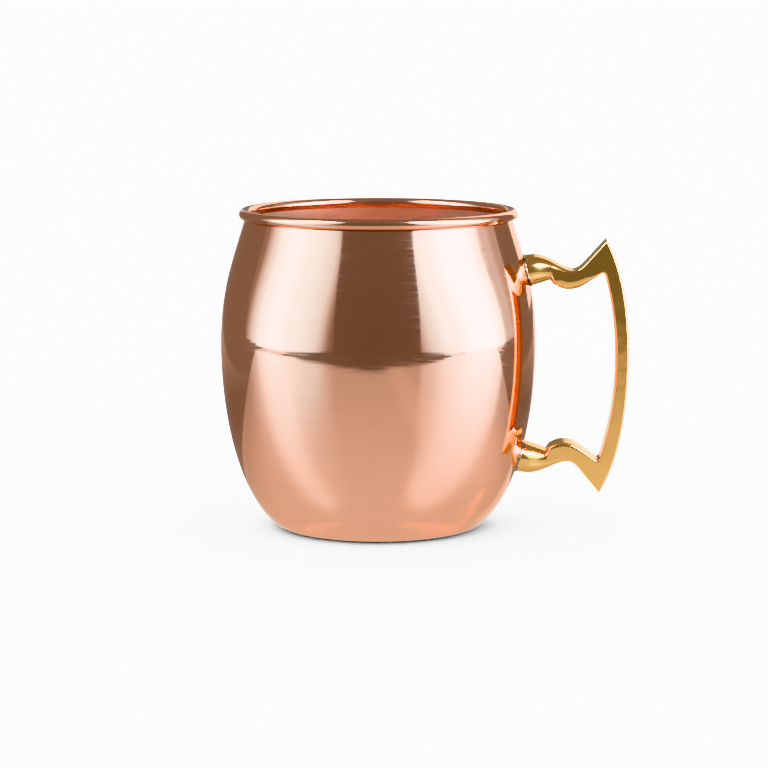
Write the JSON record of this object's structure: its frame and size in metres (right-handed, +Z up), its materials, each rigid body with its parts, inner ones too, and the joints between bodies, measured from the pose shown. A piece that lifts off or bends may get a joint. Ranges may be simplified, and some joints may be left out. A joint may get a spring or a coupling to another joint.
{
  "type": "copper mug",
  "caption": "Barrel-shaped polished copper mug with a rolled rim, a flat base and a cast brass handle with a pointed thumb rest.",
  "frame": {"origin": "on the mug's axis, on the plane of the flat base", "axes": "+Z up along the mug's axis, +X towards the handle, so the part is symmetric about the XZ plane"},
  "size_m": [0.1187, 0.092, 0.0929],
  "materials": {
    "polished_copper": "mirror-polished spun copper sheet with very fine polishing lines round the mug, lacquered",
    "cast_brass": "polished cast yellow brass, with fine grinding lines on the flat sides",
    "tin_solder": "dull silver-grey tin solder, slightly lumpy"
  },
  "bodies": {
    "root": {"body_shell": "polished_copper", "handle": "cast_brass", "upper_solder_joint": "tin_solder", "lower_solder_joint": "tin_solder"}
  },
  "joints": []
}
